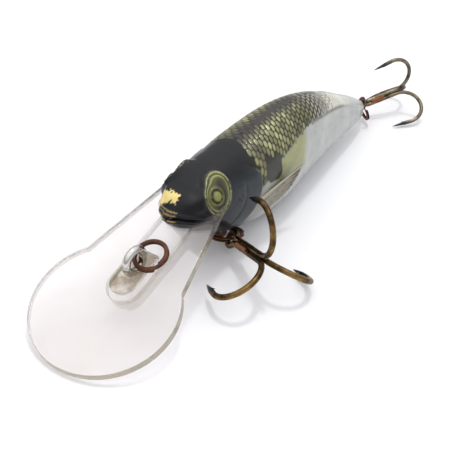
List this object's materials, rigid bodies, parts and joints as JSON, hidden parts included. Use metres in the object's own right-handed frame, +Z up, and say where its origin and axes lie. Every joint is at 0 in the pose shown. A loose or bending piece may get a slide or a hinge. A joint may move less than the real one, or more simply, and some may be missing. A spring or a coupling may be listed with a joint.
{
  "type": "crankbait lure",
  "caption": "Deep-diving crankbait: a hollow fish-shaped body with a long clear diving lip, a line tie on the lip and treble hooks swinging on split rings at belly and tail.",
  "frame": {"origin": "centre of the line-tie eye's hole", "axes": "+X towards the tip of the lip and along the lure, +Y to the fish's left, +Z up from the level surface that the lure lies on"},
  "size_m": [0.1051, 0.034, 0.0177],
  "materials": {
    "painted_body": "clear-coated paint over moulded plastic: black back, olive scaled flanks, milky belly",
    "clear_lip": "clear moulded plastic, slightly aged",
    "bright_wire": "polished nickel-plated wire",
    "rusted_wire": "tarnished, rust-brown",
    "bronzed_hook": "bronze lacquered",
    "braze": "copper-coloured braze",
    "ballast": "dull cast metal",
    "steel_ball": "polished"
  },
  "bodies": {
    "lure_body": {"left_body_shell": "painted_body", "right_body_shell": "painted_body", "diving_lip": "clear_lip", "line_tie_eye": "bright_wire", "belly_hanger": "bright_wire", "tail_hanger": "bright_wire", "front_ballast": "ballast", "rear_ballast": "ballast"},
    "tie_ring": {"line_tie_ring": "rusted_wire"},
    "belly_ring": {"belly_split_ring": "rusted_wire"},
    "belly_treble": {"belly_hook_pair": "bronzed_hook", "belly_third_hook": "bronzed_hook", "belly_hook_braze": "braze"},
    "tail_ring": {"tail_split_ring": "rusted_wire"},
    "tail_treble": {"tail_hook_pair": "bronzed_hook", "tail_third_hook": "bronzed_hook", "tail_hook_braze": "braze"},
    "front_rattle": {"front_rattle_ball": "steel_ball"},
    "rear_rattle": {"rear_rattle_ball": "steel_ball"}
  },
  "joints": [
    {"name": "tie_ring_swing", "type": "hinge", "parent": "lure_body", "child": "tie_ring", "pos_m": [0, 0, 0], "axis": [0, 1, 0], "range_deg": [0, 175]},
    {"name": "belly_ring_swing", "type": "hinge", "parent": "lure_body", "child": "belly_ring", "pos_m": [-0.0215, 0, -0.00665], "axis": [1, 0, 0], "range_deg": [-120, 0]},
    {"name": "belly_treble_swing", "type": "hinge", "parent": "belly_ring", "child": "belly_treble", "pos_m": [-0.0191, 0.00463, -0.0053], "axis": [0.8289, -0.5456, 0.1235], "range_deg": [-75, 0]},
    {"name": "tail_ring_swing", "type": "hinge", "parent": "lure_body", "child": "tail_ring", "pos_m": [-0.0717, 0, -0.0039], "axis": [0, 1, 0], "range_deg": [-20, 85]},
    {"name": "tail_treble_swing", "type": "hinge", "parent": "tail_ring", "child": "tail_treble", "pos_m": [-0.07339, -0.00117, -0.00566], "axis": [-0.2999, 0.1813, -0.9366], "range_deg": [-70, 70]},
    {"name": "front_rattle_slide", "type": "slide", "parent": "lure_body", "child": "front_rattle", "axis": [0, 1, 0], "range_m": [-0.002, 0.002]},
    {"name": "rear_rattle_slide", "type": "slide", "parent": "lure_body", "child": "rear_rattle", "axis": [0, 1, 0], "range_m": [-0.0013, 0.0013]}
  ]
}
